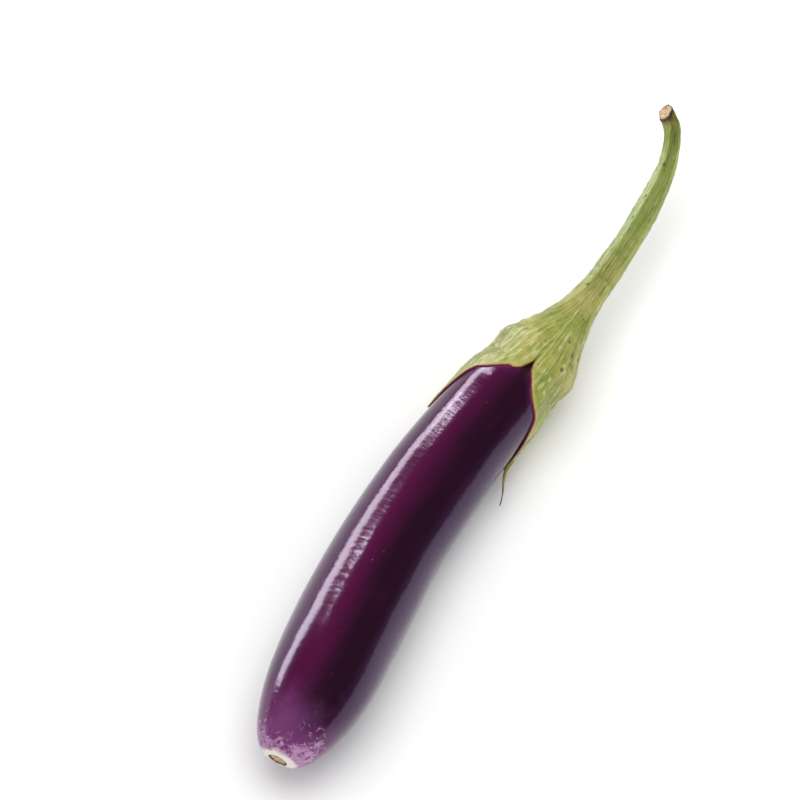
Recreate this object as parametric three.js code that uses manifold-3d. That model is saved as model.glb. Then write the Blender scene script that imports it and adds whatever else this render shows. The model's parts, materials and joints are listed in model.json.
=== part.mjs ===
// Long purple eggplant, picked and lying on its side.
//
// It is three pieces: the fruit, the calyx (a leathery cap of five fused sepals, one of them
// drawn out into a dried thread) and the stem with its curled, cut end.
// +X runs from the blossom end towards the stem, +Z is up, and the origin is the middle of the
// small flat spot that the fruit rests on. Sizes are in millimetres and angles in degrees.
// A station is a distance along the centreline, counted from the blossom tip.

import * as THREE from "three";
import { mergeVertices } from "three/addons/utils/BufferGeometryUtils.js";
import Module from "manifold-3d";

// Fruit
const fruitLength = 202;
const bellyRadius = 21;
const neckRadius = 19.4;
const shoulderRadius = 17.7;
const bellyStation = 62;
const neckStation = 132;
const blossomRounding = 53;
const blossomPointing = 0.49;
const blossomBlunting = 3.5;
const shoulderRounding = 28;
const fruitBow = 8.9;
const restStation = 103;
const flatSpotDepth = 0.9;
const undersideArcRadius = 680;
const scarRadius = 3.4;
const scarDepth = 0.5;
const scarLean = 0.3;

// Calyx
const calyxGap = 0.35;
const rimThickness = 0.7;
const rimThickening = 15;
const lobeReach = 45;
const lobeTipAngles = [98, 139, 180];
const valleyDepth = 7;
const splitTurn = 17;
const splitDepth = 36;
const keelProud = 1.7;
const keelWidth = 13;
const valleyDrop = 1.5;
const shoulderTuck = 0.3;
const pressedLobeDrop = 0.7;
const pressedLobeWidth = 25;
const cornerSetback = 3.5;
const flareLength = 40;
const crownRadius = 5.6;
const spreadBefore = 12;
const spreadAfter = 8;
const threadRadius = 0.6;
const threadLength = 17;
const threadHang = 6.6;

// Stem
const stemGap = 0.3;
const stemLength = 75;
const stemRadius = 4.4;
const stemEndRadius = 3.2;
const stemSway = 5.5;
const stemDip = 1.6;
const hookReach = 11;
const hookRise = 15;
const ribHeight = 0.3;
const ribAngles = [36, 108, 180];
const cutSlant = 0.45;

// How finely each piece is divided
const fruitColumns = 48;
const fruitRowStep = 6;
const blossomRows = 10;
const shoulderRows = 7;
const halfCalyxColumns = 40;
const tipColumns = [22, 31, 40];
const calyxSkinRows = 14;
const calyxLiningRows = 13;
const stemColumns = 30;
const stemRows = 34;

const cornerStation = fruitLength - cornerSetback;
const crownStation = cornerStation + flareLength;
const lobeTipStation = fruitLength - lobeReach;
const shoulderStation = fruitLength - shoulderRounding;

const { lerp, smoothstep, degToRad } = THREE.MathUtils;

// ---------------------------------------------------------------- fruit outline

// Radius of the fruit's body, before its two ends are rounded.
function bodyRadius(station) {
  const narrowing = smoothstep(station, bellyStation, neckStation);
  const opening = smoothstep(station, neckStation, shoulderStation);
  return lerp(bellyRadius, neckRadius, narrowing) + (shoulderRadius - neckRadius) * opening;
}

// The fruit's radius, or that of a skin which clears it all round by `clearance`.
function fruitRadius(station, clearance = 0) {
  const blossom = Math.max(0, 1 - station / blossomRounding);
  const shoulder = Math.max(0, (station - shoulderStation) / (shoulderRounding + clearance));
  const blossomEnd = (1 - blossom ** 2) ** blossomPointing;
  const shoulderEnd = Math.sqrt(Math.max(0, 1 - shoulder ** 2));
  return (bodyRadius(station) + clearance) * blossomEnd * shoulderEnd;
}

// ---------------------------------------------------------------- centreline

// Height of the fruit's underside. It arches up towards both ends, and in the middle it would dip
// under the table by the depth of the flat spot.
function undersideHeight(station) {
  return (station - restStation) ** 2 / (2 * undersideArcRadius) - flatSpotDepth;
}

// A point of the centreline at a share of the fruit's length, swayed by a share of its bow.
function fruitAxisPoint(share, sway) {
  const station = share * fruitLength;
  const height = bodyRadius(station) + undersideHeight(station);
  return new THREE.Vector3(station, sway * fruitBow, height);
}

// A point of the stem's hooked end, as shares of its reach, sway and rise.
const neckHeight = bodyRadius(fruitLength) + undersideHeight(fruitLength);
const hookStation = crownStation + stemLength - hookReach * 2;
function hookPoint(reach, sway, rise) {
  const height = neckHeight - stemDip + hookRise * rise;
  return new THREE.Vector3(hookStation + hookReach * reach, stemSway * sway, height);
}

const axis = new THREE.CatmullRomCurve3([
  new THREE.Vector3(0, 0, bellyRadius - flatSpotDepth),
  fruitAxisPoint(0.17, 0.22),
  fruitAxisPoint(0.35, 0.69),
  fruitAxisPoint(0.52, 1),
  fruitAxisPoint(0.7, 0.87),
  fruitAxisPoint(0.87, 0.41),
  fruitAxisPoint(1, -0.22),
  new THREE.Vector3(crownStation, -stemSway, neckHeight - stemDip),
  new THREE.Vector3(lerp(crownStation, hookStation, 0.6), -stemSway, neckHeight - stemDip),
  hookPoint(0, -0.64, 0.18),
  hookPoint(1, 0.12, 0.6),
  hookPoint(1.3, 1.15, 1.07),
], false, "centripetal");
axis.arcLengthDivisions = 600;
const axisLength = axis.getLength();
const restPoint = axis.getPointAt(restStation / axisLength).setZ(0);
const skyward = new THREE.Vector3(0, 0, 1);

// Bends a piece, made straight along +Y with +Z up, on to the centreline.
function bend(geometry) {
  const positions = geometry.getAttribute("position");
  const up = new THREE.Vector3();
  const right = new THREE.Vector3();
  const point = new THREE.Vector3();
  for (let i = 0; i < positions.count; i++) {
    const along = positions.getY(i) / axisLength;
    const inside = THREE.MathUtils.clamp(along, 0, 1);
    const ahead = axis.getTangentAt(inside);
    right.crossVectors(ahead, skyward).normalize();
    up.crossVectors(right, ahead);
    point.copy(axis.getPointAt(inside)).sub(restPoint);
    point.addScaledVector(ahead, (along - inside) * axisLength);
    point.addScaledVector(right, positions.getX(i));
    point.addScaledVector(up, positions.getZ(i));
    positions.setXYZ(i, point.x, point.y, point.z);
  }
  return geometry;
}

// ---------------------------------------------------------------- solids

const wasm = await Module();
wasm.setup();

// A closed mesh with shared vertices and no collapsed triangles.
function weld(geometry) {
  const bare = new THREE.BufferGeometry();
  bare.setAttribute("position", geometry.getAttribute("position"));
  bare.setIndex(geometry.getIndex());
  const merged = mergeVertices(bare, 1e-3);
  const corners = merged.getIndex().array;
  const kept = [];
  for (let i = 0; i < corners.length; i += 3) {
    const [a, b, c] = corners.slice(i, i + 3);
    if (a !== b && b !== c && c !== a) {
      kept.push(a, b, c);
    }
  }
  merged.setIndex(kept);
  return merged;
}

function toSolid(geometry) {
  const closed = weld(geometry);
  const vertProperties = new Float32Array(closed.getAttribute("position").array);
  const triVerts = new Uint32Array(closed.getIndex().array);
  return new wasm.Manifold(new wasm.Mesh({ numProp: 3, vertProperties, triVerts }));
}

function toGeometry(solid) {
  const mesh = solid.getMesh();
  const geometry = new THREE.BufferGeometry();
  geometry.setAttribute("position", new THREE.BufferAttribute(mesh.vertProperties, mesh.numProp));
  geometry.setIndex(new THREE.BufferAttribute(mesh.triVerts, 1));
  return geometry;
}

// A closed grid revolved about +Y, whose first and last rows lie on the axis. `shape` gives the
// station, radius and angle of each of its points from the row and the column.
function revolvedGrid(rowCount, columnCount, shape) {
  const profile = [];
  for (let row = 0; row < rowCount; row++) {
    profile.push(new THREE.Vector2(row === 0 || row === rowCount - 1 ? 0 : 1, row));
  }
  const lathe = new THREE.LatheGeometry(profile, columnCount);
  const positions = lathe.getAttribute("position");
  for (let i = 0; i < positions.count; i++) {
    const { station, radius, angle } = shape(i % rowCount, Math.floor(i / rowCount));
    const turn = degToRad(angle);
    positions.setXYZ(i, radius * Math.sin(turn), station, radius * Math.cos(turn));
  }
  return lathe;
}

function makePiece(name, geometry, color, roughness) {
  geometry.computeVertexNormals();
  const material = new THREE.MeshStandardMaterial({ color, roughness, metalness: 0 });
  const piece = new THREE.Mesh(geometry, material);
  piece.name = name;
  return piece;
}

// ---------------------------------------------------------------- fruit

// Stations of the fruit's rings, close together at the two rounded ends.
function fruitStations() {
  const stations = [];
  for (let i = 0; i < blossomRows; i++) {
    stations.push(blossomRounding * (1 - Math.cos((i / blossomRows) * Math.PI / 2)));
  }
  const bodyRows = Math.round((shoulderStation - blossomRounding) / fruitRowStep);
  for (let i = 0; i < bodyRows; i++) {
    stations.push(lerp(blossomRounding, shoulderStation, i / bodyRows));
  }
  for (let i = 0; i <= shoulderRows; i++) {
    stations.push(shoulderStation + shoulderRounding * Math.sin((i / shoulderRows) * Math.PI / 2));
  }
  return stations;
}

function makeFruit() {
  const profile = fruitStations().map((station) => new THREE.Vector2(fruitRadius(station), station));
  profile[0].x = 0;
  profile[profile.length - 1].x = 0;
  const lathe = new THREE.LatheGeometry(profile, fruitColumns);

  // The tip is blunt, and the blossom scar in it is a shallow dimple a little off the centreline.
  const positions = lathe.getAttribute("position");
  for (let i = 0; i < positions.count; i++) {
    const station = positions.getY(i);
    const reach = Math.hypot(positions.getX(i), positions.getZ(i));
    const lean = scarLean * Math.max(0, 1 - station / blossomRounding) ** 2;
    const atBlossom = station < blossomRounding / 2;
    const dimple = atBlossom ? scarDepth * Math.max(0, 1 - reach / scarRadius) : 0;
    const blunted = Math.cbrt(station ** 3 + blossomBlunting ** 3);
    positions.setXYZ(i, positions.getX(i) - lean, blunted + dimple, positions.getZ(i));
  }

  const table = new THREE.BoxGeometry(fruitLength * 2, bellyRadius * 4, bellyRadius);
  table.translate(0, 0, -bellyRadius / 2);
  return toGeometry(toSolid(bend(lathe)).subtract(toSolid(table)));
}

// ---------------------------------------------------------------- calyx

// The cap is divided into columns that run from the crown to the rim, mirrored on both sides of
// the open split, which is column 0. The tip columns lie on the keels, which end in the lobes'
// tips at the rim and in the ribs at the crown.
function spreadAngle(column, keelAngles) {
  const columns = [0, ...tipColumns];
  const angles = [0, ...keelAngles];
  const i = tipColumns.findIndex((tip) => column <= tip);
  return lerp(angles[i], angles[i + 1], (column - columns[i]) / (columns[i + 1] - columns[i]));
}

// Angle from the split, from 0 to 180, at a place between the rim and the crown.
function columnAngle(column, crownward) {
  return lerp(spreadAngle(column, lobeTipAngles), spreadAngle(column, ribAngles), crownward);
}

// The open side climbs from the first lobe's tip, steeply at first, and ends in a sharp notch.
// The other lobes end in points with round valleys between them.
function rimStation(angle) {
  const [firstTip, secondTip] = lobeTipAngles;
  if (angle >= firstTip) {
    const along = ((angle - firstTip) / (secondTip - firstTip)) % 1;
    return lobeTipStation + valleyDepth * Math.sin(Math.PI * along);
  }
  const share = angle / firstTip;
  const notch = 0.13 * (1 - Math.exp(-angle / 5));
  const tip = 0.35 * Math.max(0, (share - 0.55) / 0.45) ** 1.4;
  return lobeTipStation + splitDepth * (1 - notch - 0.52 * share - tip);
}

// How strongly a column stands on a keel: 1 on it, 0 well away from it.
function keelShare(angle, keelAngles) {
  const away = Math.min(...keelAngles.map((keel) => Math.abs(angle - keel)));
  return Math.exp(-((away / keelWidth) ** 2));
}

// How strongly a column belongs to the first lobe, which lies flatter on the side that has no
// thread.
function pressedShare(angle) {
  return Math.exp(-(((angle - lobeTipAngles[0]) / pressedLobeWidth) ** 2));
}

// Outer radius of the cap along a keel: it lies close to the fruit, tucks in behind the corner of
// the shoulder and then falls away in a long flare to the crown.
function flarePoint(lengthShare, radiusShare) {
  const radius = lerp(crownRadius, shoulderRadius, radiusShare);
  return new THREE.Vector2(cornerStation + flareLength * lengthShare, radius);
}
const capOutline = new THREE.SplineCurve([
  new THREE.Vector2(lobeTipStation - 10, shoulderRadius + keelProud),
  new THREE.Vector2(lobeTipStation + 18, shoulderRadius + keelProud),
  new THREE.Vector2(cornerStation - 11, shoulderRadius - shoulderTuck),
  new THREE.Vector2(cornerStation - 5, shoulderRadius - shoulderTuck),
  flarePoint(0, 1),
  flarePoint(0.17, 0.75),
  flarePoint(0.33, 0.5),
  flarePoint(0.6, 0.19),
  flarePoint(0.83, 0.05),
  flarePoint(1, 0),
]).getPoints(120);

function capRadius(station) {
  const next = capOutline.findIndex((point) => point.x >= station);
  const i = next < 1 ? capOutline.length - 1 : next;
  const before = capOutline[i - 1];
  const after = capOutline[i];
  return lerp(before.y, after.y, (station - before.x) / (after.x - before.x));
}

// Radius of the cap's outer skin, which starts thin at the rim and thickens away from it.
function outerSkin(station, angle, rim, crownward, pressed) {
  const keel = lerp(keelShare(angle, lobeTipAngles), keelShare(angle, ribAngles), crownward);
  const drop = lerp(valleyDrop, ribHeight, crownward) * (1 - keel);
  const flattened = pressedLobeDrop * pressed * (1 - crownward);
  const bed = fruitRadius(station, calyxGap) + rimThickness;
  const edge = Math.max(bed, fruitRadius(rim, calyxGap) + rimThickness);
  const thickened = smoothstep(station - rim, 0, rimThickening);
  return lerp(edge, Math.max(bed, capRadius(station) - drop - flattened), thickened);
}

// The dried tip of the first lobe: it runs on along the fruit and then hangs clear of it.
function makeThread() {
  const start = lobeTipStation + 5;
  const threadPoint = (share, clearOfFruit, turnBack) => {
    const station = start - threadLength * share;
    const radius = bodyRadius(station) + calyxGap + threadRadius + clearOfFruit;
    const turn = degToRad(lobeTipAngles[0] + splitTurn - 4 + turnBack);
    return new THREE.Vector3(radius * Math.sin(turn), station, radius * Math.cos(turn));
  };
  const path = new THREE.CatmullRomCurve3([
    threadPoint(0, 0.2, 0),
    threadPoint(0.25, 0.1, 0),
    threadPoint(0.5, threadHang * 0.17, -2),
    threadPoint(0.78, threadHang * 0.64, 2),
    threadPoint(1, threadHang, 8),
  ]);
  const section = new THREE.Shape().absarc(0, 0, threadRadius, 0, Math.PI * 2);
  return new THREE.ExtrudeGeometry(section, { steps: 12, curveSegments: 3, extrudePath: path });
}

// The rows run from the middle of the lining out to the rim, then over the outer skin to the crown.
function makeCalyx() {
  const rowCount = calyxLiningRows + calyxSkinRows + 3;
  const cap = revolvedGrid(rowCount, 2 * halfCalyxColumns, (row, column) => {
    const side = column > halfCalyxColumns ? -1 : 1;
    const sideColumn = side > 0 ? column : 2 * halfCalyxColumns - column;
    const rimAngle = columnAngle(sideColumn, 0);
    const rim = rimStation(rimAngle);
    if (row <= calyxLiningRows) {
      const share = Math.cos((row / calyxLiningRows) * Math.PI / 2);
      const station = lerp(rim, fruitLength + calyxGap, share);
      const radius = row === 0 ? 0 : fruitRadius(station, calyxGap);
      return { station, radius, angle: side * rimAngle + splitTurn };
    }
    if (row === rowCount - 1) {
      return { station: crownStation, radius: 0, angle: 0 };
    }
    const share = ((row - calyxLiningRows - 1) / calyxSkinRows) ** 1.2;
    const station = lerp(rim, crownStation, share);
    const crownward = smoothstep(station, cornerStation - spreadBefore, crownStation - spreadAfter);
    const angle = columnAngle(sideColumn, crownward);
    const pressed = side < 0 ? pressedShare(angle) : 0;
    const radius = outerSkin(station, angle, rim, crownward, pressed);
    return { station, radius, angle: side * angle + splitTurn };
  });
  return toGeometry(toSolid(bend(cap)).add(toSolid(bend(makeThread()))));
}

// ---------------------------------------------------------------- stem

// Smooth taper from the crown's flare to the thin end, with a groove between each pair of ribs.
function stemSkin(share, angle) {
  const flare = (crownRadius - stemRadius) * Math.exp(-share * 7);
  const taper = lerp(stemRadius, stemEndRadius, smoothstep(share, 0.36, 0.85));
  const awayFromSplit = Math.abs(((angle + 540) % 360) - 180);
  return taper + flare - ribHeight * (1 - keelShare(awayFromSplit, ribAngles));
}

function makeStem() {
  const start = crownStation + stemGap;
  const end = axisLength - stemEndRadius * cutSlant;
  const rowCount = stemRows + 3;
  const stem = revolvedGrid(rowCount, stemColumns, (row, column) => {
    const share = THREE.MathUtils.clamp((row - 1) / stemRows, 0, 1);
    const angle = column * 360 / stemColumns;
    if (row === 0 || row === rowCount - 1) {
      return { station: lerp(start, end, share), radius: 0, angle };
    }
    const slant = cutSlant * stemEndRadius * Math.sin(degToRad(angle)) * share ** 8;
    const station = lerp(start, end, share) + slant;
    return { station, radius: stemSkin(share, angle), angle: angle + splitTurn };
  });
  return weld(bend(stem));
}

const eggplant = new THREE.Group();
eggplant.add(makePiece("fruit", makeFruit(), 0x3a1233, 0.22));
eggplant.add(makePiece("calyx", makeCalyx(), 0xa9ae5c, 0.6));
eggplant.add(makePiece("stem", makeStem(), 0x9fb257, 0.6));

export default eggplant;
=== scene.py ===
"""Long purple eggplant lying on a pale table: fruit, calyx, dried sepal tip and stem.

All sizes are in metres. A station is a distance along the eggplant's centreline, counted from
the blossom tip, and a turn is an angle round it, counted from the top towards -Y.
"""

import json
import math
from bisect import bisect

import bmesh
import bpy
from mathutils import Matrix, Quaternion, Vector, noise

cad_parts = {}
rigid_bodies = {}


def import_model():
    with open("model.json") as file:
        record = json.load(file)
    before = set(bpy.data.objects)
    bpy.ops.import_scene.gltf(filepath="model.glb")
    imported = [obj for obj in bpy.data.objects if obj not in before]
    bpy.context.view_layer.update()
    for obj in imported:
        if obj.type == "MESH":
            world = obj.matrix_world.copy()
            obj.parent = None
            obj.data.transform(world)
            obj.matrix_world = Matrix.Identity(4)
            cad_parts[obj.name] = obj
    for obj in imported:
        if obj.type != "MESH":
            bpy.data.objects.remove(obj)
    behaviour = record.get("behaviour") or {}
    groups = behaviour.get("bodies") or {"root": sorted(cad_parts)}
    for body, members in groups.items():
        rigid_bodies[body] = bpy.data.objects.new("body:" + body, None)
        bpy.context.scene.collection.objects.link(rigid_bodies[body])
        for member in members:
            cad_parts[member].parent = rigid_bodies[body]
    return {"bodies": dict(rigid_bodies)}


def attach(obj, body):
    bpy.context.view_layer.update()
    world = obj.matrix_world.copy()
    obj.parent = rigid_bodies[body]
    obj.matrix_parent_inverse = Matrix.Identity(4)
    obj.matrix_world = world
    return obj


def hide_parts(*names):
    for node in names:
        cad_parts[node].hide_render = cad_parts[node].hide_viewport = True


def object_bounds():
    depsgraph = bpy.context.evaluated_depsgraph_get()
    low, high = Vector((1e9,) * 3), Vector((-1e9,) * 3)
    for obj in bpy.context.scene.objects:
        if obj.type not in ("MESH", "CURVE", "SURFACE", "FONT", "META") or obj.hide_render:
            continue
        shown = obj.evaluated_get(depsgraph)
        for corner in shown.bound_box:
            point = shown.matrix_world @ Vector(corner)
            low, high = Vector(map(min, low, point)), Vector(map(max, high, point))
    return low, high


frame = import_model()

cad_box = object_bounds()
body = next(iter(frame["bodies"]))

# ---------------------------------------------------------------------------------- fruit
# One long berry that grew as one piece: spongy flesh inside a thin, waxy, near-black purple
# skin. It swells towards the blossom end, bows to one side, and is pressed flat where it rests.
# The corky scar where the flower dropped off sits on its tip, in a pale, mottled ring.

FRUIT_LENGTH = 0.202
BELLY_RADIUS = 0.021
NECK_RADIUS = 0.0194
SHOULDER_RADIUS = 0.0177
BELLY_STATION = 0.062
NECK_STATION = 0.132
BLOSSOM_ROUNDING = 0.053
BLOSSOM_POINTING = 0.49
BLOSSOM_BLUNTING = 0.0035
SHOULDER_ROUNDING = 0.028
SHOULDER_STATION = FRUIT_LENGTH - SHOULDER_ROUNDING
FRUIT_BOW = 0.0089
REST_STATION = 0.103
FLAT_SPOT_DEPTH = 0.0009
UNDERSIDE_ARC_RADIUS = 0.68
SCAR_RADIUS = 0.0038
SCAR_LEAN = 0.0003
SCAR_LIP_HEIGHT = 0.00018
SCAR_LIP_WIDTH = 0.00045
SCAR_DISH_DEPTH = 0.00042
SCAR_DISH_EDGE = 0.001
CORK_HEIGHT = 0.00022
CORK_GRAIN = 0.0011
CORK_EDGE = 0.0006
STUMP_HEIGHT = 0.00045
STUMP_WIDTH = 0.0007
STUMP_RADIUS = 0.0002
STUMP_PLACE = Vector((0, 0.0006, 0.0004))
SKIN_UNEVENNESS = 0.00022
BROAD_SWELLING = 0.034
FINE_SWELLING = 0.015
FRUIT_COLUMNS = 216
FINEST_RING = 0.00016
WIDEST_RING = 0.00105
RING_GROWTH = 1.022

# The calyx and the stem lie on the same centreline as the fruit.
CORNER_SETBACK = 0.0035
FLARE_LENGTH = 0.040
CORNER_STATION = FRUIT_LENGTH - CORNER_SETBACK
CROWN_STATION = CORNER_STATION + FLARE_LENGTH
STEM_LENGTH = 0.075
STEM_SWAY = 0.0055
STEM_DIP = 0.0016
HOOK_REACH = 0.011
HOOK_RISE = 0.015
HOOK_STATION = CROWN_STATION + STEM_LENGTH - HOOK_REACH * 2
SKYWARD = Vector((0, 0, 1))


def lerp(start, end, share):
    return start + (end - start) * share


def clamp(value, low=0.0, high=1.0):
    return min(high, max(low, value))


def smoothstep(value, low, high):
    share = clamp((value - low) / (high - low))
    return share * share * (3 - 2 * share)


def bell(distance, width):
    """1 in the middle of a soft bump and 0 well away from it."""
    return math.exp(-((distance / width) ** 2))


def body_radius(station):
    """Radius of the fruit's body, before its two ends are rounded."""
    narrowing = smoothstep(station, BELLY_STATION, NECK_STATION)
    closing = smoothstep(station, NECK_STATION, SHOULDER_STATION)
    radius = lerp(BELLY_RADIUS, NECK_RADIUS, narrowing)
    return radius + (SHOULDER_RADIUS - NECK_RADIUS) * closing


def fruit_radius(station, clearance=0.0):
    """Radius of the fruit, or of a skin that clears it all round."""
    blossom = max(0.0, 1 - max(0.0, station) / BLOSSOM_ROUNDING)
    shoulder = max(0.0, (station - SHOULDER_STATION) / (SHOULDER_ROUNDING + clearance))
    blossom_end = (1 - blossom**2) ** BLOSSOM_POINTING
    shoulder_end = math.sqrt(max(0.0, 1 - shoulder**2))
    return (body_radius(station) + clearance) * blossom_end * shoulder_end


def underside_height(station):
    """The fruit's underside arches up towards both ends and is pressed flat in the middle."""
    return (station - REST_STATION) ** 2 / (2 * UNDERSIDE_ARC_RADIUS) - FLAT_SPOT_DEPTH


def fruit_axis_point(share, sway):
    station = share * FRUIT_LENGTH
    height = body_radius(station) + underside_height(station)
    return Vector((station, sway * FRUIT_BOW, height))


NECK_HEIGHT = body_radius(FRUIT_LENGTH) + underside_height(FRUIT_LENGTH)


def stem_axis_point(station, sway, rise):
    return Vector((station, STEM_SWAY * sway, NECK_HEIGHT - STEM_DIP + HOOK_RISE * rise))


class Path:
    """A centripetal Catmull-Rom curve through the knots, measured by its length."""

    STEPS = 160

    def __init__(self, knots):
        padded = [knots[0] * 2 - knots[1], *knots, knots[-1] * 2 - knots[-2]]
        self.places, self.headings, self.stations = [], [], []
        for a, b, c, d in zip(padded, padded[1:], padded[2:], padded[3:]):
            before, span, after = ((q - p).length ** 0.5 for p, q in ((a, b), (b, c), (c, d)))
            leaving = (b - a) / before - (c - a) / (before + span) + (c - b) / span
            arriving = (c - b) / span - (d - b) / (span + after) + (d - c) / after
            self.add_span(b, c, leaving * span, arriving * span)
        self.length = self.stations[-1]

    def add_span(self, start, end, leaving, arriving):
        bend = (end - start) * 3 - leaving * 2 - arriving
        twist = (start - end) * 2 + leaving + arriving
        for step in range(1 if self.places else 0, self.STEPS + 1):
            t = step / self.STEPS
            place = start + leaving * t + bend * t**2 + twist * t**3
            travelled = (place - self.places[-1]).length if self.places else 0.0
            self.stations.append((self.stations[-1] if self.stations else 0.0) + travelled)
            self.places.append(place)
            self.headings.append((leaving + bend * 2 * t + twist * 3 * t**2).normalized())

    def at(self, station):
        """The place and the heading at a station; past either end it runs straight on."""
        inside = clamp(station, 0.0, self.length)
        i = clamp(bisect(self.stations, inside), 1, len(self.stations) - 1)
        share = (inside - self.stations[i - 1]) / (self.stations[i] - self.stations[i - 1])
        heading = self.headings[i - 1].lerp(self.headings[i], share).normalized()
        place = self.places[i - 1].lerp(self.places[i], share)
        return place + heading * (station - inside), heading


centreline = Path([
    Vector((0, 0, BELLY_RADIUS - FLAT_SPOT_DEPTH)),
    fruit_axis_point(0.17, 0.22),
    fruit_axis_point(0.35, 0.69),
    fruit_axis_point(0.52, 1),
    fruit_axis_point(0.7, 0.87),
    fruit_axis_point(0.87, 0.41),
    fruit_axis_point(1, -0.22),
    stem_axis_point(CROWN_STATION, -1, 0),
    stem_axis_point(lerp(CROWN_STATION, HOOK_STATION, 0.6), -1, 0),
    stem_axis_point(HOOK_STATION, -0.64, 0.18),
    stem_axis_point(HOOK_STATION + HOOK_REACH, 0.12, 0.6),
    stem_axis_point(HOOK_STATION + HOOK_REACH * 1.3, 1.15, 1.07),
])
rest_place = centreline.at(REST_STATION)[0]
rest_point = Vector((rest_place.x, rest_place.y, 0))


def lay(path, station, radius, turn):
    """The point at a radius and turn round a path, in the part's frame."""
    place, ahead = path.at(station)
    right = ahead.cross(SKYWARD).normalized()
    up = right.cross(ahead)
    return place + right * (radius * math.sin(turn)) + up * (radius * math.cos(turn)) - rest_point


# Vertices nearer than this share of a chain's length are one vertex, as at its two ends.
WELD_SHARE = 1e-6
CREASE_ANGLE = math.radians(55)


def spin_chain(chain, columns):
    """Spins a chain of (station, radius) points round +X into one closed skin."""
    bm = bmesh.new()
    verts = [bm.verts.new((station, 0, radius)) for station, radius in chain]
    edges = [bm.edges.new(pair) for pair in zip(verts, verts[1:])]
    bmesh.ops.spin(bm, geom=verts + edges, cent=(0, 0, 0), axis=(1, 0, 0), dvec=(0, 0, 0),
                   angle=math.tau, steps=columns, use_merge=True, use_duplicate=False)
    bmesh.ops.remove_doubles(bm, verts=bm.verts, dist=chain[-1][0] * WELD_SHARE)
    bmesh.ops.recalc_face_normals(bm, faces=bm.faces)
    return bm


def turn_of(vert):
    return math.atan2(-vert.co.y, vert.co.z)


def make_piece(name, bm, material, node):
    """Turns a finished bmesh into a smooth piece that stands for its CAD node."""
    for face in bm.faces:
        face.smooth = True
    for edge in bm.edges:
        edge.smooth = edge.calc_face_angle(0) < CREASE_ANGLE
    mesh = bpy.data.meshes.new(name)
    bm.to_mesh(mesh)
    bm.free()
    piece = bpy.data.objects.new(name, mesh)
    bpy.context.scene.collection.objects.link(piece)
    mesh.materials.append(material)
    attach(piece, body)
    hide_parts(node)


class Finish:
    """A Principled material, with short calls that add nodes and return their outputs."""

    def __init__(self, name):
        self.material = bpy.data.materials.new(name)
        self.material.use_nodes = True
        self.tree = self.material.node_tree
        self.shader = self.tree.nodes["Principled BSDF"]

    def fill(self, socket, value):
        if isinstance(value, bpy.types.NodeSocket):
            self.tree.links.new(value, socket)
        elif value is not None:
            socket.default_value = value

    def set(self, **sockets):
        for name, value in sockets.items():
            self.fill(self.shader.inputs[name.replace("_", " ")], value)

    def node(self, kind, *values, output=0, **settings):
        made = self.tree.nodes.new("ShaderNode" + kind)
        for name, value in settings.items():
            setattr(made, name, value)
        for socket, value in zip(made.inputs, values):
            self.fill(socket, value)
        return made.outputs[output]

    def attribute(self, name, output=2):
        made = self.tree.nodes.new("ShaderNodeAttribute")
        made.attribute_name = name
        return made.outputs[output]

    def stretched(self, vector, scale):
        return self.node("VectorMath", vector, scale, operation="MULTIPLY")

    def noise(self, vector, scale, detail=4.0, roughness=0.55, distortion=0.0):
        made = self.tree.nodes.new("ShaderNodeTexNoise")
        for name, value in (("Vector", vector), ("Scale", scale), ("Detail", detail),
                            ("Roughness", roughness), ("Distortion", distortion)):
            self.fill(made.inputs[name], value)
        return made.outputs[0]

    def cells(self, vector, scale):
        made = self.tree.nodes.new("ShaderNodeTexVoronoi")
        self.fill(made.inputs["Vector"], vector)
        self.fill(made.inputs["Scale"], scale)
        return made.outputs[0]

    def math(self, operation, a, b=None, clamped=False):
        return self.node("Math", a, b, operation=operation, use_clamp=clamped)

    def rise(self, value, low, high, bottom=0.0, top=1.0):
        """Goes smoothly from bottom to top as the value goes from low to high."""
        made = self.tree.nodes.new("ShaderNodeMapRange")
        made.interpolation_type = "SMOOTHSTEP"
        for name, given in (("Value", value), ("From Min", low), ("From Max", high),
                            ("To Min", bottom), ("To Max", top)):
            self.fill(made.inputs[name], given)
        return made.outputs[0]

    def mix(self, share, base, top):
        made = self.tree.nodes.new("ShaderNodeMix")
        made.data_type = "RGBA"
        for index, value in ((0, share), (6, base), (7, top)):
            self.fill(made.inputs[index], (*value, 1) if isinstance(value, tuple) else value)
        return made.outputs[2]

    def bump(self, height, distance, normal=None):
        made = self.tree.nodes.new("ShaderNodeBump")
        for name, value in (("Height", height), ("Distance", distance), ("Normal", normal)):
            self.fill(made.inputs[name], value)
        return made.outputs[0]


def blunted(station):
    """Moves a station near the blossom tip back, so that the tip is blunt."""
    return (station**3 + BLOSSOM_BLUNTING**3) ** (1 / 3)


def skin_normal(station):
    """Direction that the skin faces at a station, as its parts along and away from the axis."""
    before, after = max(0.0, station - 1e-5), station + 1e-5
    rise = fruit_radius(after) - fruit_radius(before)
    return Vector((-rise, blunted(after) - blunted(before))).normalized()


def fruit_rings():
    """Stations of the fruit's rings, fine at the scar and wider along the body."""
    stations, station, step = [0.0], 0.0, FINEST_RING
    while station < FRUIT_LENGTH:
        slope = abs(fruit_radius(station + 1e-6) - fruit_radius(station)) / 1e-6
        station += step / math.hypot(1, slope)
        step = min(WIDEST_RING, step * RING_GROWTH)
        stations.append(min(station, FRUIT_LENGTH))
    return stations


def scar_edge(turn):
    """Radius of the scar, which is a rough oval."""
    place = Vector((math.sin(turn), math.cos(turn), 0))
    return SCAR_RADIUS * (1 + 0.16 * noise.noise(place * 1.7) + 0.06 * noise.noise(place * 6))


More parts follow.
